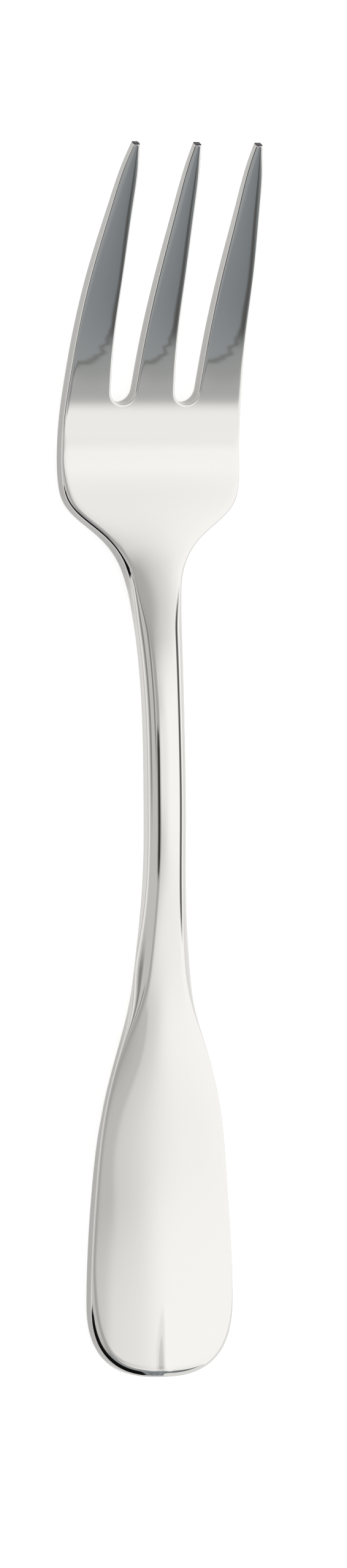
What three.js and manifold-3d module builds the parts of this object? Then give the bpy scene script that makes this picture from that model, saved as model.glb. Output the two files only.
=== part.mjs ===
// Three-tined fish fork, forged from one bar of stainless steel and polished.
//
// The forging is drawn as seven regions that meet face to face: the handle, the stem, the neck,
// the head and three tines. X runs across the fork, Y from the handle to the tips and Z up.
// The fork lies on its back with the tips in the air, so the lowest faces are at Z = 0.
// All sizes are in millimetres.

import * as THREE from 'three';
import { mergeVertices } from 'three/addons/utils/BufferGeometryUtils.js';
import Module from 'manifold-3d';

// Lengths of the regions along Y, from the rounded end of the handle to the tips.
const HANDLE_LENGTH = 57.9;
const STEM_LENGTH = 47;
const NECK_LENGTH = 19.5;
const HEAD_LENGTH = 15.7;
const TINE_LENGTH = 33.94;

// Half-widths of the outline.
const HANDLE_HALF_WIDTH = 11.12;
const HANDLE_SHOULDER_HALF_WIDTH = 8.8;
const HANDLE_WAIST_HALF_WIDTH = 4.3;
const STEM_HALF_WIDTH = 3.26;
const STEM_TOP_HALF_WIDTH = 3.6;
const NECK_HALF_WIDTH = 4.98;
const HEAD_HALF_WIDTH = 13.92;
const HEAD_FRONT_HALF_WIDTH = 13.62;

// Rounded end of the handle: a superellipse, fuller than a half circle.
const HANDLE_END_LENGTH = 11.2;
const HANDLE_END_FULLNESS = 2.6;

// Thickness of the metal along the middle.
const HANDLE_END_THICKNESS = 2.6;
const HANDLE_THICKNESS = 2.6;
const STEM_THICKNESS = 2.9;
const HEAD_THICKNESS = 2.1;
const TIP_THICKNESS = 1.15;

// How far the upper face falls from the middle to its border.
const HANDLE_CROWN = 0.45;
const STEM_CROWN = 0.06;
const NECK_CROWN = 0.18;
const TINE_CROWN = 0.12;

// Edges of the handle and head: a small round above and below, and a larger one at the handle's end.
const ROUND_WIDTH = 0.25;
const ROUND_FULLNESS = 2;
const END_ROUND_WIDTH = 0.95;
const END_ROUND_FULL_LENGTH = 5;
const END_ROUND_RUN_OUT = 17;

// Edges of the stem: a bevel above and a wide round below, which run out on the handle and the neck.
const BEVEL_WIDTH = 1.6;
const BEVEL_FULLNESS = 1.5;
const BEVEL_HANDLE_RUN_OUT = 14;
const BACK_ROUND_WIDTH = 0.95;
const BACK_HANDLE_RUN_OUT = 36;
const NECK_RUN_OUT = 12.1;

// Short rib on the upper face at the end of the handle.
const RIB_LENGTH = 9.5;
const RIB_HEIGHT = 0.06;
const RIB_HALF_WIDTH = 0.85;
const RIB_POINT_HALF_WIDTH = 0.34;
const RIB_FULL_LENGTH = 1.9;

// Side view: how far the middle of the metal lies above that of the resting head.
const HANDLE_RISE = 2.45;
const CREST_RISE = 4.25;
const NECK_RISE = 3.0;
const SHOULDER_RISE = 0.4;
const SLOT_ROOT_RISE = 1.75;
const TINE_MIDDLE_RISE = 8.2;
const TIP_RISE = 17.9;

// Depth by which the back is flattened where the fork rests.
const REST_DEPTH = 0.08;

// Tines and the slots between them.
const SLOT_RADIUS = 1.95;
const SLOT_OFFSET = 4.97;
const TIP_OFFSET = 9.5;
const MIDDLE_TINE_HALF_WIDTH = 2.08;
const OUTER_TINE_HALF_WIDTH = 2.5;
const MIDDLE_NEAR_TIP_HALF_WIDTH = 0.95;
const OUTER_NEAR_TIP_HALF_WIDTH = 1.08;
const TIP_HALF_WIDTH = 0.5;
const TINE_ROUND = 0.2;
const TINE_FULLNESS = 2.6;
const TINE_EDGE_RUN_IN = 6.8;
const SLOT_EDGE_ROUND = 0.11;

const STEEL_COLOUR = 0xc0bfbc;
const STEEL_ROUGHNESS = 0.05;
const STEEL_METALNESS = 1;

// Places along Y, counted from the end of the handle.
const STEM_START = HANDLE_LENGTH;
const NECK_START = STEM_START + STEM_LENGTH;
const HEAD_START = NECK_START + NECK_LENGTH;
const SLOT_ROOT = HEAD_START + HEAD_LENGTH;
const TIP = SLOT_ROOT + TINE_LENGTH;
const HANDLE_REST = 0.21 * HANDLE_LENGTH;
const HEAD_REST = HEAD_START + 0.38 * HEAD_LENGTH;

const { lerp, smoothstep, degToRad } = THREE.MathUtils;

const wasm = await Module();
wasm.setup();

// Smooth curve through [place, value] pairs.
function curve(...pairs) {
  const places = pairs.map(([place]) => place);
  const values = pairs.map(([, value]) => value);
  const interpolant = new THREE.CubicInterpolant(places, values, 1);
  return (place) => interpolant.evaluate(place)[0];
}

// Half-width of the sides, without the rounded end of the handle.
const sideHalfWidth = curve(
  [0, HANDLE_HALF_WIDTH],
  [HANDLE_REST, HANDLE_HALF_WIDTH],
  [0.48 * HANDLE_LENGTH, lerp(HANDLE_SHOULDER_HALF_WIDTH, HANDLE_HALF_WIDTH, 0.6)],
  [0.673 * HANDLE_LENGTH, HANDLE_SHOULDER_HALF_WIDTH],
  [0.817 * HANDLE_LENGTH, lerp(HANDLE_WAIST_HALF_WIDTH, HANDLE_SHOULDER_HALF_WIDTH, 0.5)],
  [0.93 * HANDLE_LENGTH, lerp(HANDLE_WAIST_HALF_WIDTH, HANDLE_SHOULDER_HALF_WIDTH, 0.12)],
  [STEM_START, HANDLE_WAIST_HALF_WIDTH],
  [STEM_START + 0.25 * STEM_LENGTH, lerp(STEM_HALF_WIDTH, HANDLE_WAIST_HALF_WIDTH, 0.1)],
  [STEM_START + 0.5 * STEM_LENGTH, STEM_HALF_WIDTH],
  [STEM_START + 0.75 * STEM_LENGTH, STEM_HALF_WIDTH],
  [NECK_START, STEM_TOP_HALF_WIDTH],
  [NECK_START + 0.34 * NECK_LENGTH, lerp(STEM_TOP_HALF_WIDTH, NECK_HALF_WIDTH, 0.35)],
  [NECK_START + 0.55 * NECK_LENGTH, NECK_HALF_WIDTH],
  [NECK_START + 0.75 * NECK_LENGTH, lerp(NECK_HALF_WIDTH, HEAD_HALF_WIDTH, 0.35)],
  [NECK_START + 0.89 * NECK_LENGTH, lerp(NECK_HALF_WIDTH, HEAD_HALF_WIDTH, 0.74)],
  [HEAD_START, lerp(NECK_HALF_WIDTH, HEAD_HALF_WIDTH, 0.925)],
  [HEAD_START + 0.12 * HEAD_LENGTH, lerp(NECK_HALF_WIDTH, HEAD_HALF_WIDTH, 0.98)],
  [HEAD_REST, HEAD_HALF_WIDTH],
  [SLOT_ROOT, HEAD_FRONT_HALF_WIDTH],
);

function halfWidth(place) {
  const reach = Math.min(place / HANDLE_END_LENGTH, 1);
  const rounding = (1 - (1 - reach) ** HANDLE_END_FULLNESS) ** (1 / HANDLE_END_FULLNESS);
  return sideHalfWidth(place) * rounding;
}

const thickness = curve(
  [0, HANDLE_END_THICKNESS],
  [HANDLE_REST, HANDLE_END_THICKNESS],
  [0.75 * HANDLE_LENGTH, HANDLE_THICKNESS],
  [STEM_START, STEM_THICKNESS],
  [NECK_START, STEM_THICKNESS],
  [HEAD_START, lerp(STEM_THICKNESS, HEAD_THICKNESS, 0.75)],
  [HEAD_REST, HEAD_THICKNESS],
  [SLOT_ROOT, HEAD_THICKNESS],
  [SLOT_ROOT + 0.4 * TINE_LENGTH, lerp(HEAD_THICKNESS, TIP_THICKNESS, 0.15)],
  [TIP, TIP_THICKNESS],
);

// The handle is a little thicker than the head, so its middle lies higher when both rest.
const HANDLE_REST_RISE = (HANDLE_END_THICKNESS - HEAD_THICKNESS) / 2;

// Middle of the metal in the side view, over that of the resting head.
const rise = curve(
  [0, HANDLE_REST_RISE],
  [HANDLE_REST, HANDLE_REST_RISE],
  [0.48 * HANDLE_LENGTH, 0.28 * HANDLE_RISE],
  [0.77 * HANDLE_LENGTH, 0.72 * HANDLE_RISE],
  [STEM_START, HANDLE_RISE],
  [STEM_START + 0.3 * STEM_LENGTH, lerp(HANDLE_RISE, CREST_RISE, 0.74)],
  [STEM_START + 0.6 * STEM_LENGTH, CREST_RISE],
  [NECK_START, NECK_RISE],
  [NECK_START + 0.5 * NECK_LENGTH, lerp(SHOULDER_RISE, NECK_RISE, 0.35)],
  [HEAD_START, SHOULDER_RISE],
  [HEAD_REST, 0],
  [SLOT_ROOT - 0.22 * HEAD_LENGTH, 0.46 * SLOT_ROOT_RISE],
  [SLOT_ROOT, SLOT_ROOT_RISE],
  [SLOT_ROOT + 0.16 * TINE_LENGTH, lerp(SLOT_ROOT_RISE, TINE_MIDDLE_RISE, 0.27)],
  [SLOT_ROOT + 0.46 * TINE_LENGTH, TINE_MIDDLE_RISE],
  [TIP, TIP_RISE],
);

// Height of the middle of the resting head, with the back pressed flat against the table.
const BASE = HEAD_THICKNESS / 2 - REST_DEPTH;
const SLOPE_STEP = 0.05;

// Turns a point of the section at a place (across, height above the middle) into the bent fork.
// What would reach below the table is flattened onto it.
function bend(across, height, place) {
  const before = Math.max(place - SLOPE_STEP, 0);
  const after = Math.min(place + SLOPE_STEP, TIP);
  const slope = (rise(after) - rise(before)) / (after - before);
  const run = 1 / Math.hypot(1, slope);
  const y = place - height * slope * run;
  const z = BASE + rise(place) + height * run;
  return new THREE.Vector3(across, y, Math.max(z, 0));
}

// Share of the stem's edges at a place: 1 along the stem, running out to 0 on the handle and the neck.
function stemShare(place, handleRunOut) {
  const fromHandle = smoothstep(place, STEM_START - handleRunOut, STEM_START);
  const toHead = 1 - smoothstep(place, NECK_START, NECK_START + NECK_RUN_OUT);
  return fromHandle * toHead;
}

// Fall of the upper face from the middle to its border at a place.
function crownAt(place) {
  const runOut = NECK_START + NECK_RUN_OUT;
  const handleCrown = HANDLE_CROWN * (1 - smoothstep(place, STEM_START, NECK_START));
  const neckShare = smoothstep(place, NECK_START, runOut) * (1 - smoothstep(place, runOut, HEAD_REST));
  return lerp(handleCrown, STEM_CROWN, stemShare(place, BEVEL_HANDLE_RUN_OUT)) + NECK_CROWN * neckShare;
}

// Point of a border, a quarter superellipse from a face (angle 0) to the wall (angle 90 degrees).
function borderPoint(angle, { width, depth, fullness }) {
  const turn = degToRad(angle);
  const out = width * Math.sin(turn) ** (2 / fullness);
  const down = depth * (1 - Math.cos(turn) ** (2 / fullness));
  return [out, down];
}

const BEVEL_ANGLES = [22, 45, 68, 90];
const ROUND_ANGLES = [0, 30, 60, 90];

// Shares of a section's half-width and of its half-height that a border may take.
const MOST_WIDTH = 0.6;
const MOST_DEPTH = 0.9;

// Joins the right half of a section and the mirrored left half into one anticlockwise ring.
// Each half runs from the middle of the upper face to the middle of the lower face.
function closeRing(right, left) {
  const mirrored = left.slice(1, -1).map(([across, height]) => [-across, height]);
  return [...right.slice().reverse(), ...mirrored];
}

// Border that passes from a round of the handle and head to an edge of the stem, within its room.
function barBorder(room, round, stemEdge, share) {
  const mostDepth = MOST_DEPTH * room.rim;
  return {
    width: Math.min(lerp(round, stemEdge.width, share), MOST_WIDTH * room.half),
    depth: Math.min(lerp(round, mostDepth, share), mostDepth),
    fullness: lerp(ROUND_FULLNESS, stemEdge.fullness, share),
  };
}

const STEM_BEVEL = { width: BEVEL_WIDTH, fullness: BEVEL_FULLNESS };
const STEM_BACK = { width: BACK_ROUND_WIDTH, fullness: ROUND_FULLNESS };

// Section of the handle, stem, neck and head at a place, as [across, height] pairs.
function barSection(place) {
  const half = halfWidth(place);
  const endShare = Math.sqrt(1 - (1 - Math.min(place / END_ROUND_WIDTH, 1)) ** 2);
  const top = (thickness(place) / 2) * endShare;
  const crown = crownAt(place) * endShare;
  const room = { half, rim: top - crown / 2 };
  const pastEnd = smoothstep(place, END_ROUND_FULL_LENGTH, END_ROUND_RUN_OUT);
  const upperRound = lerp(END_ROUND_WIDTH, ROUND_WIDTH, pastEnd);
  const upper = barBorder(room, upperRound, STEM_BEVEL, stemShare(place, BEVEL_HANDLE_RUN_OUT));
  const lower = barBorder(room, ROUND_WIDTH, STEM_BACK, stemShare(place, BACK_HANDLE_RUN_OUT));
  const face = half - upper.width;
  const middleFace = face / 2;
  const ribShare = 1 - smoothstep(place, RIB_FULL_LENGTH, RIB_LENGTH);
  const ribHalf = Math.min(lerp(RIB_POINT_HALF_WIDTH, RIB_HALF_WIDTH, ribShare), middleFace / 2);
  const crownDrop = (across) => crown * (across / face) ** 2;
  const right = [
    [0, top + RIB_HEIGHT * ribShare * endShare],
    [ribHalf, top - crownDrop(ribHalf)],
    [middleFace, top - crownDrop(middleFace)],
    [face, top - crown],
  ];
  for (const angle of BEVEL_ANGLES) {
    const [out, down] = borderPoint(angle, upper);
    right.push([face + out, top - crown - down]);
  }
  for (const angle of ROUND_ANGLES.toReversed()) {
    const [out, down] = borderPoint(angle, lower);
    right.push([half - lower.width + out, -top + down]);
  }
  right.push([0, -top]);
  return closeRing(right, right);
}

// Skins a row of equal-length rings and caps both ends, given the flat plans of the two end rings.
function loft(rings, [firstPlan, lastPlan]) {
  const sides = rings[0].length;
  const positions = rings.flat().flatMap((point) => point.toArray());
  const indices = [];
  for (let ring = 0; ring + 1 < rings.length; ring += 1) {
    for (let side = 0; side < sides; side += 1) {
      const a = ring * sides + side;
      const b = ring * sides + ((side + 1) % sides);
      indices.push(a, b + sides, b, a, a + sides, b + sides);
    }
  }
  const last = (rings.length - 1) * sides;
  for (const [a, b, c] of THREE.ShapeUtils.triangulateShape(firstPlan, [])) {
    indices.push(a, b, c);
  }
  for (const [a, b, c] of THREE.ShapeUtils.triangulateShape(lastPlan, [])) {
    indices.push(last + a, last + c, last + b);
  }
  const geometry = new THREE.BufferGeometry();
  geometry.setAttribute('position', new THREE.Float32BufferAttribute(positions, 3));
  geometry.setIndex(indices);
  return geometry;
}

// Lofts a region of the fork through its sections at the given places.
function region(section, places) {
  const outlines = places.map((place) => section(place));
  const bendRing = (outline, step) => outline.map(([across, height]) => bend(across, height, places[step]));
  const flatten = (outline) => outline.map(([across, height]) => new THREE.Vector2(across, height));
  return loft(outlines.map(bendRing), [flatten(outlines[0]), flatten(outlines[outlines.length - 1])]);
}

function evenPlaces(from, to, steps) {
  return Array.from({ length: steps + 1 }, (_, step) => lerp(from, to, step / steps));
}

// Places that crowd together towards the rounded end of the handle, which is cut flat at the tip.
const END_FLAT = 0.02;
const END_STEPS = 9;
const HANDLE_STEPS = 19;

function handlePlaces() {
  const crowded = evenPlaces(0, 1, END_STEPS).map((share) => lerp(END_FLAT, HANDLE_REST, share ** 2.5));
  return [...crowded, ...evenPlaces(HANDLE_REST, STEM_START, HANDLE_STEPS).slice(1)];
}

const slotInner = SLOT_OFFSET - SLOT_RADIUS;
const slotOuter = SLOT_OFFSET + SLOT_RADIUS;
const outerTineRootHalf = (HEAD_FRONT_HALF_WIDTH - slotOuter) / 2;
const outerTineRootCentre = (HEAD_FRONT_HALF_WIDTH + slotOuter) / 2;

// Half-width of a tine from the slot roots to the tip.
function tineStations(rootHalf, middleHalf, nearTipHalf) {
  return curve(
    [SLOT_ROOT, rootHalf],
    [SLOT_ROOT + 0.13 * TINE_LENGTH, lerp(middleHalf, rootHalf, 0.68)],
    [SLOT_ROOT + 0.48 * TINE_LENGTH, middleHalf],
    [SLOT_ROOT + 0.76 * TINE_LENGTH, lerp(nearTipHalf, middleHalf, 0.42)],
    [SLOT_ROOT + 0.92 * TINE_LENGTH, nearTipHalf],
    [TIP, TIP_HALF_WIDTH],
  );
}

const middleTineHalf = tineStations(slotInner, MIDDLE_TINE_HALF_WIDTH, MIDDLE_NEAR_TIP_HALF_WIDTH);
const outerTineHalf = tineStations(outerTineRootHalf, OUTER_TINE_HALF_WIDTH, OUTER_NEAR_TIP_HALF_WIDTH);
const outerTineCentre = curve(
  [SLOT_ROOT, outerTineRootCentre],
  [SLOT_ROOT + 0.5 * TINE_LENGTH, lerp(TIP_OFFSET, outerTineRootCentre, 0.85)],
  [TIP, TIP_OFFSET],
);

// What a side of a tine continues where it grows out of the head: the round rim or the wall of a slot.
const RIM_ROOT = { width: ROUND_WIDTH, depth: ROUND_WIDTH, fullness: ROUND_FULLNESS };
const SLOT_ROOT_EDGE = { width: SLOT_EDGE_ROUND, depth: SLOT_EDGE_ROUND, fullness: TINE_FULLNESS };

// One half of a tine's section, from the middle of its upper face to the middle of its lower face.
function tineHalfSection(place, half, root) {
  const top = thickness(place) / 2;
  const round = Math.min(TINE_ROUND, MOST_WIDTH * half);
  const grown = smoothstep(place, SLOT_ROOT, SLOT_ROOT + TINE_EDGE_RUN_IN);
  const border = {
    width: lerp(root.width, round, grown),
    depth: lerp(root.depth, round, grown),
    fullness: lerp(root.fullness, TINE_FULLNESS, grown),
  };
  const crown = TINE_CROWN * grown;
  const face = half - border.width;
  const corner = ROUND_ANGLES.map((angle) => borderPoint(angle, border));
  const upper = corner.map(([out, down]) => [face + out, top - crown - down]);
  const lower = corner.map(([out, down]) => [face + out, -top + down]).reverse();
  return [[0, top], [face / 2, top - crown / 4], ...upper, ...lower, [0, -top]];
}

// Section of a tine: a bar with rounded corners about its own centre line.
function tineSection(centre, half, rightRoot, leftRoot) {
  return (place) => {
    const right = tineHalfSection(place, half(place), rightRoot);
    const left = tineHalfSection(place, half(place), leftRoot);
    return closeRing(right, left).map(([across, height]) => [centre(place) + across, height]);
  };
}

// Closed geometry as a manifold solid, and back.
function toSolid(geometry) {
  const merged = mergeVertices(geometry);
  const vertProperties = Float32Array.from(merged.attributes.position.array);
  const triVerts = Uint32Array.from(merged.index.array);
  return new wasm.Manifold(new wasm.Mesh({ numProp: 3, vertProperties, triVerts }));
}

function toGeometry(solid) {
  const { vertProperties, triVerts } = solid.getMesh();
  const geometry = new THREE.BufferGeometry();
  geometry.setAttribute('position', new THREE.BufferAttribute(vertProperties, 3));
  geometry.setIndex(new THREE.BufferAttribute(triVerts, 1));
  return geometry;
}

// Round punch for the root of a slot, square to the metal where the tines begin.
const PUNCH_SIDES = 40;
const PUNCH_LENGTH = 4 * HEAD_THICKNESS;

function slotPunch(across) {
  const punch = new THREE.CylinderGeometry(SLOT_RADIUS, SLOT_RADIUS, PUNCH_LENGTH, PUNCH_SIDES);
  punch.deleteAttribute('normal');
  punch.deleteAttribute('uv');
  const above = bend(across, HEAD_THICKNESS, SLOT_ROOT);
  const below = bend(across, 0, SLOT_ROOT);
  const axis = above.clone().sub(below).normalize();
  const turn = new THREE.Quaternion().setFromUnitVectors(new THREE.Vector3(0, 1, 0), axis);
  punch.applyQuaternion(turn);
  punch.translate(below.x, below.y, below.z);
  return toSolid(punch);
}

const STEM_STEPS = 14;
const NECK_STEPS = 14;
const HEAD_STEPS = 12;
const TINE_STEPS = 16;

function headGeometry() {
  const blank = toSolid(region(barSection, evenPlaces(HEAD_START, SLOT_ROOT, HEAD_STEPS)));
  const punched = blank.subtract(slotPunch(SLOT_OFFSET)).subtract(slotPunch(-SLOT_OFFSET));
  return toGeometry(punched);
}

function piece(name, geometry) {
  const steel = new THREE.MeshStandardMaterial({
    color: STEEL_COLOUR,
    roughness: STEEL_ROUGHNESS,
    metalness: STEEL_METALNESS,
  });
  geometry.computeVertexNormals();
  const mesh = new THREE.Mesh(geometry, steel);
  mesh.name = name;
  return mesh;
}

const tinePlaces = evenPlaces(SLOT_ROOT, TIP, TINE_STEPS);
const leftSection = tineSection((place) => -outerTineCentre(place), outerTineHalf, SLOT_ROOT_EDGE, RIM_ROOT);
const middleSection = tineSection(() => 0, middleTineHalf, SLOT_ROOT_EDGE, SLOT_ROOT_EDGE);
const rightSection = tineSection(outerTineCentre, outerTineHalf, RIM_ROOT, SLOT_ROOT_EDGE);

const fork = new THREE.Group();
fork.name = 'fish_fork';
fork.add(
  piece('handle', region(barSection, handlePlaces())),
  piece('stem', region(barSection, evenPlaces(STEM_START, NECK_START, STEM_STEPS))),
  piece('neck', region(barSection, evenPlaces(NECK_START, HEAD_START, NECK_STEPS))),
  piece('head', headGeometry()),
  piece('tine_left', region(leftSection, tinePlaces)),
  piece('tine_middle', region(middleSection, tinePlaces)),
  piece('tine_right', region(rightSection, tinePlaces)),
);

// The origin is under the middle of the fork's length.
const reach = new THREE.Box3().setFromObject(fork);
fork.position.y = -(reach.min.y + reach.max.y) / 2;
fork.updateMatrixWorld(true);

export default fork;
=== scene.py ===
"""Polished fish fork on a pale studio floor.

The forging is one seamless skin that stands for all the nodes of the frame. Its blank is a flat grid with
the slots cut out, extruded into a thin box. The box is then pressed into the outline, given its rounded
rims, bevels, crown and rib, and bent along the side view.

Plan sizes are in millimetres: "place" runs along the fork from the end of the handle, "across" runs to the
right, and "height" stands square to the metal, from the middle of its thickness.
"""

import logging
import math
from dataclasses import dataclass, field
from enum import Enum

import bpy
import numpy as np
from mathutils import Matrix, Vector


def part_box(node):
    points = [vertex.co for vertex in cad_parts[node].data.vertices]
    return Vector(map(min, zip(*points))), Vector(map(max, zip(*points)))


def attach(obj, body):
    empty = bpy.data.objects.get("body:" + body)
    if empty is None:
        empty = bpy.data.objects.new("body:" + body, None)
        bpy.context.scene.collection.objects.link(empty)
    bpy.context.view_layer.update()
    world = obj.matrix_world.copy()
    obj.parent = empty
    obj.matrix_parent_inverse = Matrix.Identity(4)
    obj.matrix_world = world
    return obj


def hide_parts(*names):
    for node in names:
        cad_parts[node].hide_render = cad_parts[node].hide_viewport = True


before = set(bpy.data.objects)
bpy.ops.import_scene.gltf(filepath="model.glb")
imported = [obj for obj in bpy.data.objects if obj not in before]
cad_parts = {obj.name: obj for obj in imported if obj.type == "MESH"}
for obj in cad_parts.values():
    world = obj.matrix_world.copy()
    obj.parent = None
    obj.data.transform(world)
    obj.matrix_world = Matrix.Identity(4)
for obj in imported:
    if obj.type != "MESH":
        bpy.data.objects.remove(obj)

LOG = logging.getLogger("fish_fork")
MM = 0.001
IMAGE_HEIGHT = 2560

# Attributes of the mesh that carry painted shade on the steel: a dark line in the creases and darker side
# walls.
CREASE_SHADE = "crease"
WALL_SHADE = "wall"

# Grain per metre of the polishing lines, which run along Y, and of the hazy patches.
POLISH_GRAIN = (5200.0, 110.0, 5200.0)
HAZE_GRAIN = 70.0

# Noise: finer detail of the hazy patches, steps in the ragged sides of a panel, and the middle value.
HAZE_DETAIL = 4.0
RAGS_PER_RADIAN = 20.0
RAG_DETAIL = 1.5
NOISE_MIDDLE = 0.5

Number = float | np.ndarray
Knot = tuple[float, float]
Light = tuple[float, float, float]
Colour = tuple[float, float, float, float]


def mix(start: Number, stop: Number, share: Number) -> Number:
    """Value at a share of the way from start to stop."""
    return start + (stop - start) * share


def ease(place: Number, start: Number, stop: Number) -> Number:
    """Soft step from 0 at start to 1 at stop."""
    share = np.clip((place - start) / (stop - start), 0.0, 1.0)
    return share * share * (3.0 - 2.0 * share)


def taper(start: float, length: float, first: float, last: float, knots: tuple[Knot, ...]) -> list[Knot]:
    """Lay knots along one region of the fork, on the way between two of its sizes.

    Args:
        start: place where the region begins.
        length: length of the region.
        first: size that the way begins with.
        last: size that it leads to.
        knots: pairs of a share of the length and a share of the way.

    Returns:
        Pairs of a place and a size.
    """
    return [(start + along * length, mix(first, last, share)) for along, share in knots]


class SmoothCurve:
    """Curve through a few knots with no kink in its slope or curvature, like a bent strip of steel."""

    def __init__(self, *knots: Knot) -> None:
        """Solve for the bend at every knot.

        Args:
            knots: (place, value) pairs in rising order of place.
        """
        self.places, self.values = np.array(knots, dtype=float).T
        gaps = np.diff(self.places)
        slopes = np.diff(self.values) / gaps
        system = np.eye(len(knots))
        target = np.zeros(len(knots))
        for knot in range(1, len(knots) - 1):
            before, after = gaps[knot - 1], gaps[knot]
            system[knot, knot - 1:knot + 2] = before, 2.0 * (before + after), after
            target[knot] = 6.0 * (slopes[knot] - slopes[knot - 1])
        self.bends = np.linalg.solve(system, target)

    def _spans(self, place: np.ndarray) -> tuple[np.ndarray, ...]:
        """Find the span between two knots that each place lies in.

        Args:
            place: one place or many.

        Returns:
            Number of the span, its length, and the distances from its start and to its end.
        """
        span = np.clip(np.searchsorted(self.places, place) - 1, 0, len(self.places) - 2)
        start = place - self.places[span]
        stop = self.places[span + 1] - place
        return span, start + stop, start, stop

    def __call__(self, place: Number) -> np.ndarray:
        """Work out the curve.

        Args:
            place: one place or many.

        Returns:
            Value at every place.
        """
        span, gap, start, stop = self._spans(np.asarray(place, dtype=float))
        bend_a, bend_b = self.bends[span], self.bends[span + 1]
        cubic = (bend_a * stop**3 + bend_b * start**3) / (6.0 * gap)
        line_a = (self.values[span] / gap - bend_a * gap / 6.0) * stop
        line_b = (self.values[span + 1] / gap - bend_b * gap / 6.0) * start
        return cubic + line_a + line_b

    def slope(self, place: Number) -> np.ndarray:
        """Work out how steep the curve is.

        Args:
            place: one place or many.

        Returns:
            Slope at every place.
        """
        span, gap, start, stop = self._spans(np.asarray(place, dtype=float))
        bend_a, bend_b = self.bends[span], self.bends[span + 1]
        rise = (self.values[span + 1] - self.values[span]) / gap
        return (bend_b * start**2 - bend_a * stop**2) / (2.0 * gap) + rise - (bend_b - bend_a) * gap / 6.0


@dataclass(frozen=True)
class ForkSizes:
    """Driving sizes of the forging, in millimetres.

    A fullness is the plain power of a superellipse: 2 is a round, less is flatter and more is squarer.
    """

    handle_length: float = 57.9
    stem_length: float = 47.0
    neck_length: float = 19.5
    head_length: float = 15.7
    tine_length: float = 33.94

    handle_half: float = 11.1
    handle_shoulder_half: float = 8.8
    handle_waist_half: float = 4.3
    stem_half: float = 3.26
    stem_top_half: float = 3.6
    neck_half: float = 4.98
    head_half: float = 13.9
    head_front_half: float = 13.6
    handle_end_length: float = 11.2
    handle_end_fullness: float = 2.6

    handle_thick: float = 2.6
    stem_thick: float = 2.9
    head_thick: float = 2.1
    tip_thick: float = 1.15

    handle_crown: float = 0.45
    stem_crown: float = 0.06
    neck_crown: float = 0.18
    tine_crown: float = 0.12
    tine_crown_run_in: float = 14.0
    round_width: float = 0.22
    round_fullness: float = 2.0
    chamfer_fullness: float = 1.35
    end_round_width: float = 0.95
    end_round_depth: float = 0.7
    end_round_full_length: float = 5.0
    end_round_run_out: float = 17.0
    shoulder_round_width: float = 0.5
    shoulder_round_depth: float = 0.38
    shoulder_round_from_neck: float = 8.775
    shoulder_round_run_in: float = 4.0
    back_round_width: float = 0.25
    stem_back_round_width: float = 0.95
    back_handle_run_out: float = 36.0

    bevel_width: float = 1.6
    bevel_fullness: float = 1.5
    bevel_handle_fullness: float = 1.15
    bevel_handle_run_in: float = 14.0
    bevel_handle_run_out: float = 14.0
    bevel_neck_run_out: float = 12.1
    # Stretches of the painted shade: a dark line in the crease over each bevel of the stem.
    crease_left_start: float = 68.5
    crease_left_stop: float = 94.5
    crease_left_fade: float = 5.0
    crease_right_start: float = 57.5
    crease_right_stop: float = 116.0
    crease_right_fade: float = 11.0

    rib_length: float = 11.0
    rib_full_length: float = 1.9
    rib_height: float = 0.085
    rib_foot_half: float = 1.36
    rib_point_half: float = 0.544

    handle_rise: float = 2.45
    crest_rise: float = 4.25
    neck_rise: float = 3.0
    shoulder_rise: float = 0.28
    slot_root_rise: float = 1.75
    tine_middle_rise: float = 8.2
    tip_rise: float = 17.9
    handle_rest: float = 12.159
    head_rest_length: float = 5.966
    rest_depth: float = 0.08

    slot_radius: float = 1.95
    slot_offset: float = 4.97
    tip_offset: float = 9.5
    middle_tine_half: float = 2.08
    outer_tine_half: float = 2.5
    middle_near_tip_half: float = 0.95
    outer_near_tip_half: float = 1.08
    tip_half: float = 0.5
    tine_round: float = 0.2
    tine_fullness: float = 2.6
    tine_edge_run_in: float = 6.8
    slot_edge_round: float = 0.2
    tip_edge_round: float = 0.22
    end_set_back: float = 0.02

    @property
    def stem_start(self) -> float:
        """Place where the handle passes into the stem."""
        return self.handle_length

    @property
    def neck_start(self) -> float:
        """Place where the stem passes into the neck."""
        return self.stem_start + self.stem_length

    @property
    def head_start(self) -> float:
        """Place where the neck passes into the head."""
        return self.neck_start + self.neck_length

    @property
    def head_rest(self) -> float:
        """Place where the back of the head rests."""
        return self.head_start + self.head_rest_length

    @property
    def slot_root(self) -> float:
        """Place where the tines begin, at the centres of the slot roots."""
        return self.head_start + self.head_length

    @property
    def tip(self) -> float:
        """Place of the cut tips."""
        return self.slot_root + self.tine_length


class Edge(Enum):
    """What a border of the upper face belongs to."""

    RIM = "outer rim"
    SLOT = "wall of a slot"
    TIP = "cut end of a tine"


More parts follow.
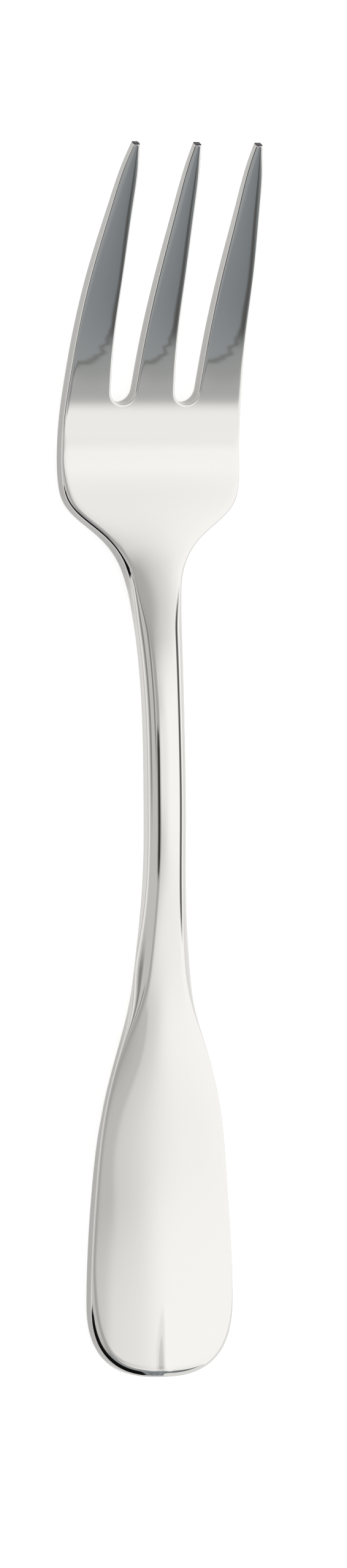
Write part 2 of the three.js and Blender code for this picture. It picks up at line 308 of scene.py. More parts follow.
class ForkForm:
    """Form of the forging: its outline, thickness, relief and bend.

    The curves run through knots, each a share of a region's length and a share of the way between two sizes.
    """

    HANDLE_THICKENING = ((0.75, 0.0), (1.0, 1.0))
    NECK_THINNING = ((0.0, 0.0), (1.0, 0.75))
    TINE_THINNING = ((0.0, 0.0), (0.4, 0.15), (1.0, 1.0))

    HANDLE_CLIMB = ((0.48, 0.28), (0.77, 0.72), (1.0, 1.0))
    STEM_CLIMB = ((0.3, 0.74), (0.6, 1.0))
    NECK_FALL = ((0.0, 0.0), (0.5, 0.65), (1.0, 1.0))
    HEAD_CLIMB = ((0.78, 0.46), (1.0, 1.0))
    TINE_CLIMB = ((0.16, 0.27), (0.46, 1.0))

    HANDLE_SIDE = ((0.48, 0.4), (0.673, 1.0))
    WAIST_SIDE = ((0.817, 0.5), (0.93, 0.88), (1.0, 1.0))
    STEM_SIDE = ((0.25, 0.9), (0.5, 1.0), (0.75, 1.0))
    NECK_SIDE = ((0.0, 0.0), (0.34, 0.35), (0.55, 1.0))
    SHOULDER_SIDE = ((0.75, 0.35), (0.89, 0.74), (1.0, 0.925))
    HEAD_SIDE = ((0.12, 0.98),)

    TINE_ROOT = ((0.0, 0.0), (0.13, 0.32), (0.48, 1.0))
    TINE_END = ((0.76, 0.58), (0.92, 1.0))
    TINE_LEAN = ((0.0, 0.0), (0.5, 0.15), (1.0, 1.0))

    def __init__(self, sizes: ForkSizes) -> None:
        """Lay the curves of the forging through its driving sizes.

        Args:
            sizes: driving sizes.
        """
        self.sizes = sizes
        self.thick = self._thickness_curve()
        self.rise = self._rise_curve()
        self.middle_edge = SmoothCurve(*self._tine_knots(
            sizes.slot_offset - sizes.slot_radius, sizes.middle_tine_half, sizes.middle_near_tip_half))
        self.outer_tine_half, self.outer_tine_centre = self._outer_tine_curves()
        self.side_half = self._side_curve()

    def _thickness_curve(self) -> SmoothCurve:
        """Lay the thickness of the metal along the fork.

        Returns:
            Thickness by place.
        """
        size = self.sizes
        return SmoothCurve(
            (0.0, size.handle_thick),
            (size.handle_rest, size.handle_thick),
            *taper(0.0, size.handle_length, size.handle_thick, size.stem_thick, self.HANDLE_THICKENING),
            *taper(size.neck_start, size.neck_length, size.stem_thick, size.head_thick, self.NECK_THINNING),
            (size.head_rest, size.head_thick),
            *taper(size.slot_root, size.tine_length, size.head_thick, size.tip_thick, self.TINE_THINNING),
        )

    def _rise_curve(self) -> SmoothCurve:
        """Lay the side view of the fork.

        Returns:
            Rise of the middle of the metal over that of the resting head, by place.
        """
        size = self.sizes
        tine = (size.slot_root, size.tine_length)
        handle_rest_rise = (size.handle_thick - size.head_thick) / 2.0
        return SmoothCurve(
            (0.0, handle_rest_rise),
            (size.handle_rest, handle_rest_rise),
            *taper(0.0, size.handle_length, 0.0, size.handle_rise, self.HANDLE_CLIMB),
            *taper(size.stem_start, size.stem_length, size.handle_rise, size.crest_rise, self.STEM_CLIMB),
            *taper(size.neck_start, size.neck_length, size.neck_rise, size.shoulder_rise, self.NECK_FALL),
            (size.head_rest, 0.0),
            *taper(size.head_start, size.head_length, 0.0, size.slot_root_rise, self.HEAD_CLIMB),
            *taper(*tine, size.slot_root_rise, size.tine_middle_rise, self.TINE_CLIMB),
            (size.tip, size.tip_rise),
        )

    def _tine_knots(self, root: float, middle: float, near_tip: float) -> list[Knot]:
        """Lay the half-width of a tine from the slot root to the tip.

        Args:
            root: half-width at the slot root.
            middle: half-width at the middle of the tine.
            near_tip: half-width just before the tip.

        Returns:
            Pairs of a place and a half-width.
        """
        size = self.sizes
        return [
            *taper(size.slot_root, size.tine_length, root, middle, self.TINE_ROOT),
            *taper(size.slot_root, size.tine_length, middle, near_tip, self.TINE_END),
            (size.tip, size.tip_half),
        ]

    def _outer_tine_curves(self) -> tuple[SmoothCurve, SmoothCurve]:
        """Lay the curves of the right outer tine.

        Returns:
            Its half-width and its centre line, by place.
        """
        size = self.sizes
        slot_outer = size.slot_offset + size.slot_radius
        root_half = (size.head_front_half - slot_outer) / 2.0
        root_centre = (size.head_front_half + slot_outer) / 2.0
        half = SmoothCurve(*self._tine_knots(root_half, size.outer_tine_half, size.outer_near_tip_half))
        centre = SmoothCurve(
            *taper(size.slot_root, size.tine_length, root_centre, size.tip_offset, self.TINE_LEAN))
        return half, centre

    def _side_curve(self) -> SmoothCurve:
        """Lay the right side of the outline, from the handle to the tip of the outer tine.

        Returns:
            Half-width of the fork by place.
        """
        size = self.sizes
        handle, neck = (0.0, size.handle_length), (size.neck_start, size.neck_length)
        tine = [(float(place), float(self.outer_tine_centre(place) + self.outer_tine_half(place)))
                for place in self.outer_tine_half.places[1:]]
        return SmoothCurve(
            (0.0, size.handle_half),
            (size.handle_rest, size.handle_half),
            *taper(*handle, size.handle_half, size.handle_shoulder_half, self.HANDLE_SIDE),
            *taper(*handle, size.handle_shoulder_half, size.handle_waist_half, self.WAIST_SIDE),
            *taper(size.stem_start, size.stem_length, size.handle_waist_half, size.stem_half, self.STEM_SIDE),
            *taper(*neck, size.stem_top_half, size.neck_half, self.NECK_SIDE),
            *taper(*neck, size.neck_half, size.head_half, self.SHOULDER_SIDE),
            *taper(size.head_start, size.head_length, size.neck_half, size.head_half, self.HEAD_SIDE),
            (size.head_rest, size.head_half),
            (size.slot_root, size.head_front_half),
            *tine,
        )

    def bevel_share(self, place: Number, handle_run_out: float) -> Number:
        """Work out how far the stem's edges take over from those of the handle and the head.

        Args:
            place: one place or many.
            handle_run_out: length on which they run out over the handle.

        Returns:
            Share of 1 along the stem, running out to 0 on the handle and the neck.
        """
        size = self.sizes
        from_handle = ease(place, size.stem_start - handle_run_out, size.stem_start)
        to_head = 1.0 - ease(place, size.neck_start, size.neck_start + size.bevel_neck_run_out)
        return from_handle * to_head

    def crease_shade_share(self, place: np.ndarray, is_right: np.ndarray) -> np.ndarray:
        """Work out the painted shade: a dark line in the crease over the stem's bevels.

        Args:
            place: distance from the handle's end along the fork.
            is_right: whether the crease is the right one.

        Returns:
            Share from 0 to 1 for every place.
        """
        size = self.sizes
        begin = np.where(is_right, size.crease_right_start, size.crease_left_start)
        end = np.where(is_right, size.crease_right_stop, size.crease_left_stop)
        fade = np.where(is_right, size.crease_right_fade, size.crease_left_fade)
        return ease(place, begin, begin + fade) * (1.0 - ease(place, end - fade, end))

    def shoulder_share(self, place: float) -> float:
        """Work out the broader round on the rim of the shoulders.

        Args:
            place: distance from the handle's end along the fork.

        Returns:
            Share of 1 from the flare of the neck to the head, running out to 0 beyond them.
        """
        size = self.sizes
        flare = size.neck_start + size.shoulder_round_from_neck
        from_neck = ease(place, flare - size.shoulder_round_run_in, flare)
        return float(from_neck * (1.0 - ease(place, size.head_start, size.head_rest)))

    def upper(self, across: Number, place: Number) -> Number:
        """Work out the upper face with its crown and the rib at the handle's end, before the borders.

        Args:
            across: distances to the right of the middle.
            place: places along the fork.

        Returns:
            Height of the face at every point.
        """
        size = self.sizes
        on_bevel = self.bevel_share(place, size.bevel_handle_run_out)
        past_bevel = size.neck_start + size.bevel_neck_run_out
        handle_crown = size.handle_crown * (1.0 - ease(place, size.stem_start, size.neck_start))
        neck_crown = size.neck_crown * ease(place, size.neck_start, past_bevel)
        neck_crown = neck_crown * (1.0 - ease(place, past_bevel, size.head_rest))
        crown = mix(handle_crown, size.stem_crown, on_bevel) + neck_crown
        face = self.side_half(place) - mix(size.round_width, size.bevel_width, on_bevel)
        on_rib = 1.0 - ease(place, size.rib_full_length, size.rib_length)
        rib_half = mix(size.rib_point_half, size.rib_foot_half, on_rib)
        rib = size.rib_height * on_rib * (1.0 - ease(np.abs(across), 0.0, rib_half))
        return self.thick(place) / 2.0 - crown * (across / face) ** 2 - self.tine_fall(across, place) + rib

    def tine_fall(self, across: Number, place: Number) -> Number:
        """Work out the fall of a tine's crowned upper face, from its middle to its edges.

        Args:
            across: distances to the right of the middle.
            place: places along the fork.

        Returns:
            Fall at every point, 0 on the rest of the fork.
        """
        size = self.sizes
        grown = ease(place, size.slot_root, size.slot_root + size.tine_crown_run_in)
        middle = across / self.middle_edge(place)
        outer = (np.abs(across) - self.outer_tine_centre(place)) / self.outer_tine_half(place)
        share = np.where(np.abs(across) < size.slot_offset, middle, outer)
        return size.tine_crown * grown * np.clip(share, -1.0, 1.0) ** 2

    def lower(self, place: Number) -> Number:
        """Height of the flat lower face, before the borders."""
        return -self.thick(place) / 2.0

    def cut_end(self, handle_end: float) -> tuple[float, float]:
        """Work out the plane of the cut ends of the tines.

        Args:
            handle_end: Y of the handle's end, in millimetres.

        Returns:
            Distance of the plane from the origin, along the way that the ends face, and the tines' slope.
        """
        tip = self.sizes.tip
        slope = float(self.rise.slope(tip))
        _, run, upright = self.bend(np.array(0.0), np.array(0.0), np.array(tip))
        return float((run + handle_end + slope * upright) / math.hypot(1.0, slope)), slope

    def bend(self, across: np.ndarray, height: np.ndarray, place: np.ndarray) -> np.ndarray:
        """Carry section points into the bent fork, pressed flat on the table where it rests.

        Args:
            across: distances to the right of the middle.
            height: distances above the middle of the metal.
            place: places along the fork.

        Returns:
            One row of X, place and Z for every point, in millimetres.
        """
        size = self.sizes
        slope = self.rise.slope(place)
        run = 1.0 / np.hypot(1.0, slope)
        base = size.head_thick / 2.0 - size.rest_depth
        upright = base + self.rise(place) + height * run
        return np.stack([across, place - height * slope * run, np.maximum(upright, 0.0)], axis=-1)


@dataclass
class Station:
    """Point of the outline with the border that runs in from it over the upper and lower faces."""

    point: np.ndarray
    inward: np.ndarray
    edge: Edge
    margin: float


@dataclass(frozen=True)
class BlankGrid:
    """Counts of the flat grid that the fork is pressed from."""

    tine_columns: int = 6
    slot_columns: int = 8
    end_rows: int = 10
    body_rows: int = 92
    tine_rows: int = 34
    border_loops: int = 6
    margin_loops: int = 2

    @property
    def columns(self) -> int:
        """Columns of cells across the fork."""
        return 3 * self.tine_columns + 2 * self.slot_columns

    @property
    def middle(self) -> int:
        """Grid line along the middle of the fork."""
        return self.columns // 2

    @property
    def root_rows(self) -> int:
        """Rows of cells beside the rounded root of a slot."""
        return self.slot_columns // 2

    @property
    def notch_row(self) -> int:
        """Grid line at which the slots end."""
        return self.end_rows + self.body_rows

    @property
    def root_row(self) -> int:
        """Grid line at the centres of the slot roots."""
        return self.notch_row + self.root_rows

    @property
    def rows(self) -> int:
        """Rows of cells along the fork."""
        return self.root_row + self.tine_rows

    @property
    def loops(self) -> int:
        """Loops of cells round the rim, from the lower face to the upper face."""
        return 2 * self.rim_loop

    @property
    def rim_loop(self) -> int:
        """Loop at the middle of the rim's height."""
        return self.border_loops + self.margin_loops

    @property
    def middle_columns(self) -> tuple[int, int]:
        """First and last grid line of the middle tine."""
        first = self.tine_columns + self.slot_columns
        return first, first + self.tine_columns

    @property
    def right_columns(self) -> tuple[int, int]:
        """First and last grid line of the right tine."""
        return self.columns - self.tine_columns, self.columns


@dataclass
class Fork:
    """The forging: a grid blank pressed into the form of the fork.

    The handle's end is given as its Y, in millimetres.
    """

    form: ForkForm
    handle_end: float
    grid: BlankGrid = field(default_factory=BlankGrid)
    name: str = "fork_forging"

    def build(self, steel: bpy.types.Material) -> bpy.types.Object:
        """Model the fork and dress it in its steel.

        Args:
            steel: finish of the whole forging.

        Returns:
            The finished object, at the origin, with its place in its mesh.
        """
        fork = self._extrude_blank()
        self._press(fork)
        self._smooth(fork)
        fork.data.materials.append(steel)
        return fork

    def _extrude_blank(self) -> bpy.types.Object:
        """Model the blank as a box of unit cells: columns along X, rows along Y, rim loops along Z.

        Returns:
            The blank.
        """
        grid = self.grid
        bpy.ops.object.select_all(action="DESELECT")
        bpy.ops.mesh.primitive_grid_add(
            x_subdivisions=grid.columns, y_subdivisions=grid.rows, size=2.0, enter_editmode=True)
        fork = bpy.context.object
        fork.name = self.name
        fork.data.name = self.name
        half_size = (grid.columns / 2.0, grid.rows / 2.0, 0.0)
        bpy.ops.transform.resize(value=(half_size[0], half_size[1], 1.0))
        bpy.ops.transform.translate(value=half_size)
        self._cut_slots(fork)
        bpy.ops.mesh.select_all(action="SELECT")
        for _ in range(grid.loops):
            bpy.ops.mesh.extrude_region_move(TRANSFORM_OT_translate={"value": (0.0, 0.0, 1.0)})
        bpy.ops.object.mode_set(mode="OBJECT")
        return fork

    def _cut_slots(self, fork: bpy.types.Object) -> None:
        """Delete the cells of both slots from the flat blank.

        Args:
            fork: the blank, in edit mode.
        """
        grid = self.grid
        bpy.ops.mesh.select_mode(type="FACE")
        bpy.ops.mesh.select_all(action="DESELECT")
        bpy.ops.object.mode_set(mode="OBJECT")
        slot_start = grid.middle_columns[1]
        slot_stop = grid.right_columns[0]
        for cell in fork.data.polygons:
            column = grid.middle + abs(cell.center.x - grid.middle)
            cell.select = cell.center.y > grid.notch_row and slot_start < column < slot_stop
        bpy.ops.object.mode_set(mode="EDIT")
        bpy.ops.mesh.delete(type="FACE")

    def _press(self, fork: bpy.types.Object) -> None:
        """Move every grid point of the blank to its place on the fork, and note there the painted shade of
        the steel: crease lines and darker walls.

        Args:
            fork: the blank.
        """
        cells = np.empty(len(fork.data.vertices) * 3)
        fork.data.vertices.foreach_get("co", cells)
        columns, rows, loops = np.rint(cells.reshape(-1, 3)).astype(int).T
        die = PressingDie(self.form, self.grid)
        placed = (die.press(columns, rows, loops) + np.array([0.0, self.handle_end, 0.0])) * MM
        fork.data.vertices.foreach_set("co", placed.ravel())
        for name, shares in ((CREASE_SHADE, die.crease(columns, rows, loops)), (WALL_SHADE, die.wall(rows, loops))):
            fork.data.attributes.new(name, "FLOAT", "POINT").data.foreach_set("value", shares)
        fork.data.update()

    def _smooth(self, fork: bpy.types.Object) -> None:
        """Turn the faces outwards, round the grid off by one subdivision and shade it smooth.

        Args:
            fork: the pressed fork.
        """
        bpy.ops.object.mode_set(mode="EDIT")
        bpy.ops.mesh.select_all(action="SELECT")
        bpy.ops.mesh.normals_make_consistent(inside=False)
        bpy.ops.object.mode_set(mode="OBJECT")
        rounding = fork.modifiers.new("rounding", "SUBSURF")
        rounding.levels = 1
        rounding.render_levels = 1
        bpy.ops.object.modifier_apply(modifier=rounding.name)
        bpy.ops.object.shade_smooth()


class PressingDie:
    """Maps the grid points of the blank to the plan and the sections of the fork.

    Only the right half is worked out, and the left half mirrors it.
    """

    # Counts of steps and loops, and of the rows on which the bow of the notch fades.
    OUTLINE_STEPS = 400
    PROFILE_STEPS = 32
    WALL_STEPS = 3
    WALL_LOOPS = 2
    NOTCH_FADE = 9.0

    # Millimetres: margins behind the borders, spacing of the rows, and what one radian of turn counts for.
    MARGIN = 1.5
    SLOT_MARGIN = 0.5
    CORNER_MARGIN = 0.45
    CORNER_REACH = 4.0
    HANDLE_PITCH = 1.7
    STEM_PITCH = 2.1
    NECK_PITCH = 0.8
    HEAD_PITCH = 0.75
    STEM_LEAD = 6.0
    NECK_LEAD = 2.0
    HEAD_LAG = 3.0
    TIP_SUPPORT = 0.34
    TURN_WEIGHT = 0.35

    # Shares of the room, the thickness, the end's length and an even spacing.
    MOST_MARGIN = 0.35
    MOST_BORDER = 0.6
    MOST_ROUND = 0.42
    END_CORNER = 0.52
    RIB_CROWDING = 0.5
    TINE_CROWDING = 0.25

    # Angle round the root of a slot, in radians.
    ROOT_CORNER = math.radians(45.0)

    def __init__(self, form: ForkForm, grid: BlankGrid) -> None:
        """Work out the stations of the outline.

        Args:
            form: form of the forging.
            grid: counts of the blank.
        """
        self.form = form
        self.sizes = form.sizes
        self.grid = grid
        self.row_places = self._row_places()
        self.stations: dict[tuple[int, int], Station] = {}
        self._place_end()
        self._place_sides()
        self._place_slot()
        self._place_tips()

    def _row_places(self) -> np.ndarray:
        """Space the grid lines along the sides, closer where the form turns faster.

        Returns:
            Place of every grid line past the rounded end.
        """
        size, grid = self.sizes, self.grid
        stops = (
            size.handle_end_length,
            size.stem_start - self.STEM_LEAD,
            size.neck_start - self.NECK_LEAD,
            size.head_start + self.HEAD_LAG,
            self._root_place(self.ROOT_CORNER),
        )
        pitches = (self.HANDLE_PITCH, self.STEM_PITCH, self.NECK_PITCH, self.HEAD_PITCH)
        marks = np.concatenate([[0.0], np.cumsum(np.diff(stops) / pitches)])
        body = np.interp(np.linspace(0.0, marks[-1], grid.body_rows + 1), marks, stops)
        turns = np.linspace(self.ROOT_CORNER, 0.0, grid.root_rows + 1)[1:]
        roots = [self._root_place(turn) for turn in turns]
        shares = np.linspace(0.0, 1.0, grid.tine_rows + 1)[1:]
        tines = mix(size.slot_root, size.tip, mix(shares, shares * (2.0 - shares), self.TINE_CROWDING))
        tines[-2] = size.tip - self.TIP_SUPPORT
        return np.concatenate([body, roots, tines])

    def _root_place(self, angle: float) -> float:
        """Place of the inner grid at an angle round the root of a slot."""
        size = self.sizes
        return size.slot_root - (size.slot_radius + size.slot_edge_round + self.SLOT_MARGIN) * math.sin(angle)

    def _place_of(self, rows: np.ndarray) -> np.ndarray:
        """Place of grid lines along the sides, where those of the rounded end count as its inner end."""
        return self.row_places[np.maximum(rows - self.grid.end_rows, 0)]

    def _end_curve(self) -> tuple[np.ndarray, np.ndarray]:
        """Draw the rounded end of the handle, from its middle to the side.

        Returns:
            Points of the curve, and the length along them.
        """
        size = self.sizes
        angle = np.linspace(0.0, math.pi / 2.0, self.OUTLINE_STEPS)
        power = 2.0 / size.handle_end_fullness
        place = size.handle_end_length * (1.0 - np.cos(angle) ** power)
        across = self.form.side_half(place) * np.sin(angle) ** power
        points = np.stack([across, place], axis=-1)
        steps = np.linalg.norm(np.diff(points, axis=0), axis=1)
        return points, np.concatenate([[0.0], np.cumsum(steps)])

    def _place_end(self) -> None:
        """Set the stations of the rounded handle end: its end row and the rows beside it."""
        grid = self.grid
        points, lengths = self._end_curve()
        tangents = np.gradient(points, lengths, axis=0)
        inwards = np.stack([-tangents[:, 1], tangents[:, 0]], axis=-1)
        corner = self.END_CORNER * lengths[-1]
        shares = np.linspace(0.0, 1.0, grid.columns - grid.middle + 1)
        crowded = mix(shares, shares**3, self.RIB_CROWDING)
        marks = {(grid.middle + step, 0): corner * share for step, share in enumerate(crowded)}
        for row in range(1, grid.end_rows + 1):
            marks[(grid.columns, row)] = mix(corner, lengths[-1], row / grid.end_rows)
        for key, mark in marks.items():
            point = np.array([np.interp(mark, lengths, points[:, axis]) for axis in range(2)])
            inward = np.array([np.interp(mark, lengths, inwards[:, axis]) for axis in range(2)])
            nearness = math.exp(-((mark - corner) / self.CORNER_REACH) ** 2)
            margin = mix(self.MARGIN, self.CORNER_MARGIN, nearness)
            self.stations[key] = Station(point, inward / np.linalg.norm(inward), Edge.RIM, margin)

    def _wall_station(self, across: float, place: float, slope: float, facing: float, edge: Edge) -> Station:
        """Make a station on a wall that runs along the fork.

        Args:
            across: distance of the wall from the middle.
            place: place along the fork.
            slope: slope of the wall's line in the plan.
            facing: 1.0 where the metal lies to the right of the wall and -1.0 where it lies to the left.
            edge: what the wall belongs to.

        Returns:
            The station.
        """
        inward = np.array([facing, -facing * slope]) / math.hypot(1.0, slope)
        margin = self.MARGIN if edge is Edge.RIM else self.SLOT_MARGIN
        return Station(np.array([across, place]), inward, edge, margin)

    def _place_sides(self) -> None:
        """Set the stations of the right side, from the rounded end to the row before the tips."""
        grid, side = self.grid, self.form.side_half
        for row in range(grid.end_rows + 1, grid.rows):
            place = float(self.row_places[row - grid.end_rows])
            self.stations[(grid.columns, row)] = self._wall_station(
                float(side(place)), place, float(side.slope(place)), -1.0, Edge.RIM)

    def _place_slot(self) -> None:
        """Set the stations of the right slot: both walls and the rounded root between them."""
        size, grid, form = self.sizes, self.grid, self.form
        inner, outer = grid.middle_columns[1], grid.right_columns[0]
        for row in range(grid.root_row + 1, grid.rows):
            place = float(self.row_places[row - grid.end_rows])
            outer_edge = float(form.outer_tine_centre(place) - form.outer_tine_half(place))
            outer_slope = float(form.outer_tine_centre.slope(place) - form.outer_tine_half.slope(place))
            self.stations[(inner, row)] = self._wall_station(
                float(form.middle_edge(place)), place, float(form.middle_edge.slope(place)), -1.0, Edge.SLOT)
            self.stations[(outer, row)] = self._wall_station(outer_edge, place, outer_slope, 1.0, Edge.SLOT)
        ring = [(inner, row) for row in range(grid.root_row, grid.notch_row, -1)]
        ring += [(column, grid.notch_row) for column in range(inner, outer + 1)]
        ring += [(outer, row) for row in range(grid.notch_row + 1, grid.root_row + 1)]
        centre = np.array([size.slot_offset, size.slot_root])
        for key, angle in zip(ring, np.linspace(0.0, math.pi, len(ring))):
            inward = np.array([-math.cos(angle), -math.sin(angle)])
            point = centre + size.slot_radius * inward
            self.stations[key] = Station(point, inward, Edge.SLOT, self.SLOT_MARGIN)

    def _place_tips(self) -> None:
        """Set the stations of the cut ends of the middle and right tines."""
        size, grid = self.sizes, self.grid
        for (first, last), centre in ((grid.middle_columns, 0.0), (grid.right_columns, size.tip_offset)):
            for column in range(max(first, grid.middle), last + 1):
                side = (2.0 * column - first - last) / (last - first)
                is_corner = column in (first, last)
                point = np.array([centre + side * size.tip_half, size.tip])
                inward = np.array([-side if is_corner else 0.0, -1.0])
                self.stations[(column, grid.rows)] = Station(point, inward, Edge.TIP, self.SLOT_MARGIN)

    def _half_room(self, station: Station) -> float:
        """Find half of the metal's width at a station, which limits its border and margin.

        Args:
            station: point of the outline.

        Returns:
            Half of the width.
        """
        size, form = self.sizes, self.form
        across, place = station.point
        if station.edge is Edge.TIP:
            return size.tip_half
        if place <= size.slot_root:
            return size.head_half if station.edge is Edge.SLOT else float(form.side_half(place))
        if across < size.slot_offset:
            return float(form.middle_edge(place))
        return float(form.outer_tine_half(place))

    def _upper_rim(self, place: float) -> tuple[float, float, float]:
        """Work out the border of the upper face along the outer rim, short of the tines.

        It is chamfer-like at the handle's end and on the shoulders, a bevel as deep as the metal along the
        stem, and a fine round elsewhere.

        Args:
            place: place along the fork.

        Returns:
            Its width, depth and fullness.
        """
        size, form = self.sizes, self.form
        past_end = float(ease(place, size.end_round_full_length, size.end_round_run_out))
        on_shoulder = form.shoulder_share(place)
        on_bevel = float(form.bevel_share(place, size.bevel_handle_run_out))
        past_handle = float(ease(place, size.stem_start, size.stem_start + size.bevel_handle_run_in))
        end_width = mix(size.end_round_width, size.round_width, past_end)
        end_depth = mix(size.end_round_depth, size.round_width, past_end)
        width = mix(end_width, size.shoulder_round_width, on_shoulder)
        depth = mix(end_depth, size.shoulder_round_depth, on_shoulder)
        fullness = mix(size.round_fullness, size.chamfer_fullness, max(1.0 - past_end, on_shoulder))
        bevel_fullness = mix(size.bevel_handle_fullness, size.bevel_fullness, past_handle)
        return (
            mix(width, size.bevel_width, on_bevel),
            mix(depth, float(form.thick(place)), on_bevel),
            mix(fullness, bevel_fullness, on_bevel),
        )

    def _lower_rim(self, place: float) -> tuple[float, float, float]:
        """Work out the border of the lower face along the outer rim, short of the tines.

        Args:
            place: place along the fork.

        Returns:
            Its width, depth and fullness.
        """
        size = self.sizes
        on_stem = float(self.form.bevel_share(place, size.back_handle_run_out))
        width = mix(size.back_round_width, size.stem_back_round_width, on_stem)
        depth = mix(size.back_round_width, float(self.form.thick(place)), on_stem)
        return width, depth, size.round_fullness

    def border(self, station: Station, is_upper: bool) -> tuple[float, float, float]:
        """Work out the border at a station.

        Args:
            station: point of the outline.
            is_upper: whether the border is on the upper face.

        Returns:
            Width in the plan, most depth below the face, and fullness of the quarter superellipse.
        """
        size = self.sizes
        if station.edge is Edge.TIP:
            return size.tip_edge_round, size.tip_edge_round, size.tine_fullness
        place = float(station.point[1])
        if station.edge is Edge.SLOT:
            body = (size.slot_edge_round, size.slot_edge_round, size.tine_fullness)
        else:
            body = self._upper_rim(place) if is_upper else self._lower_rim(place)
        most_round = self.MOST_ROUND * float(self.form.thick(place))
        tine_round = min(size.tine_round, self.MOST_BORDER * self._half_room(station), most_round)
        tine = (tine_round, tine_round, size.tine_fullness)
        grown = float(ease(place, size.slot_root, size.slot_root + size.tine_edge_run_in))
        width, depth, fullness = (mix(start, stop, grown) for start, stop in zip(body, tine))
        return width, depth, fullness

    def profile(self, width: float, depth: float, fullness: float, drop: float) -> np.ndarray:
        """Divide a border into steps from the middle of the rim up to the face, closer where it turns.

        Args:
            width: width of the border in the plan.
            depth: most depth of the rounded part, below which the rim is a plain wall.
            fullness: fullness of the quarter superellipse.
            drop: height from the middle of the rim to the face.

        Returns:
            One row per loop: share of the width in from the outline, and depth below the face.
        """
        angle = np.linspace(math.pi / 2.0, 0.0, self.PROFILE_STEPS)
        out = width * np.sin(angle) ** (2.0 / fullness)
        down = min(depth, drop) * (1.0 - np.cos(angle) ** (2.0 / fullness))
        wall = np.linspace(drop, down[0], self.WALL_STEPS, endpoint=False)
        out = np.concatenate([np.full(wall.shape, width), out])
        down = np.concatenate([wall, down])
        steps = np.hypot(np.diff(out), np.diff(down))
        turns = np.abs(np.diff(np.unwrap(np.arctan2(np.diff(down), np.diff(out)))))
        measure = np.concatenate([[0.0], np.cumsum(steps)])
        measure[1:-1] += self.TURN_WEIGHT * np.cumsum(turns)
        measure[-1] += self.TURN_WEIGHT * turns.sum()
        marks = np.linspace(0.0, measure[-1], self.grid.border_loops + 1)
        share = 1.0 - np.interp(marks, measure, out) / width
        return np.stack([share, np.interp(marks, measure, down)], axis=-1)

    def inner_point(self, station: Station) -> np.ndarray:
        """Find where the inner grid begins behind a station's border and margin.

        Args:
            station: point of the outline.

        Returns:
            Across and place of the point.
        """
        width = self.border(station, True)[0]
        room = max(self._half_room(station) - width, 0.0)
        margin = min(station.margin, self.MOST_MARGIN * room)
        return station.point + station.inward * (width + margin)

    def rim_points(self, station: Station, loops: np.ndarray) -> np.ndarray:
        """Work out the rim loops at a station.

        Args:
            station: point of the outline.
            loops: loop numbers, from 0 on the lower face to the last on the upper face.

        Returns:
            One row of across, height and place for every loop.
        """
        grid, form = self.grid, self.form
        inner = self.inner_point(station)
        drop = float(form.upper(*station.point) - form.lower(station.point[1])) / 2.0
        points = []
        for loop in loops:
            step = abs(int(loop) - grid.rim_loop)
            is_upper = loop >= grid.rim_loop
            width, depth, fullness = self.border(station, is_upper)
            face_edge = station.point + station.inward * width
            if step <= grid.border_loops:
                share, down = self.profile(width, depth, fullness, drop)[step]
                plan = mix(station.point, face_edge, share)
            else:
                down = 0.0
                plan = mix(face_edge, inner, (step - grid.border_loops) / grid.margin_loops)
            height = float(form.upper(*plan)) - down if is_upper else float(form.lower(plan[1])) + down
            points.append((plan[0], height, plan[1]))
        return np.array(points)

    def inner_plan(self) -> np.ndarray:
        """Lay the inner grid of the right half between the stations.

        Returns:
            Across and place of every grid point, by column from the middle and by row.
        """
        size, grid = self.sizes, self.grid
        tine, slot_stop = grid.middle_columns[1] - grid.middle, grid.right_columns[0] - grid.middle
        plan = np.full((grid.columns - grid.middle + 1, grid.rows + 1, 2), np.nan)
        for (column, row), station in self.stations.items():
            plan[column - grid.middle, row] = self.inner_point(station)
        for row in range(grid.notch_row, grid.rows):
            plan[:tine + 1, row] = np.linspace((0.0, plan[tine, row, 1]), plan[tine, row], tine + 1)
            plan[slot_stop:, row] = np.linspace(plan[slot_stop, row], plan[-1, row], len(plan) - slot_stop)
        notch = plan[:, grid.notch_row]
        end = plan[:, 0]
        even = np.linspace(0.0, 1.0, len(plan))
        for row in range(1, grid.notch_row):
            half, place = plan[-1, row]
            to_notch = float(ease(place, size.neck_start, notch[-1, 1]))
            from_end = 1.0 - float(ease(place, size.rib_length, size.stem_start))
            shares = mix(even, notch[:, 0] / notch[-1, 0], to_notch)
            shares = mix(shares, end[:, 0] / end[-1, 0], from_end)
            near_end = max(1.0 - row / grid.end_rows, 0.0) ** 2
            near_notch = max(1.0 - (grid.notch_row - row) / self.NOTCH_FADE, 0.0) ** 2
            bow = near_end * (end[:, 1] - end[-1, 1]) + near_notch * (notch[:, 1] - notch[-1, 1])
            plan[:, row] = np.stack([half * shares, place + bow], axis=-1)
        return plan

    def press(self, columns: np.ndarray, rows: np.ndarray, loops: np.ndarray) -> np.ndarray:
        """Carry grid points of the blank to the finished fork.

        Args:
            columns: grid line across of every point.
            rows: grid line along of every point.
            loops: rim loop of every point, from 0 on the lower face to the last on the upper face.

        Returns:
            One row of X, Y and Z for every point, in millimetres, with Y from the handle's end.
        """
        grid, form = self.grid, self.form
        side = np.where(columns < grid.middle, -1.0, 1.0)
        right = np.abs(columns - grid.middle)
        plan = self.inner_plan()[right, rows]
        across, place = plan[:, 0].copy(), plan[:, 1].copy()
        height = np.where(loops == 0, form.lower(place), form.upper(across, place))
        rims: dict[tuple[int, int], list[int]] = {}
        for index in np.flatnonzero((loops > 0) & (loops < grid.loops)):
            rims.setdefault((int(right[index]) + grid.middle, int(rows[index])), []).append(int(index))
        for key, indices in rims.items():
            points = self.rim_points(self.stations[key], loops[indices])
            across[indices], height[indices], place[indices] = points.T
        return form.bend(side * across, height, place)

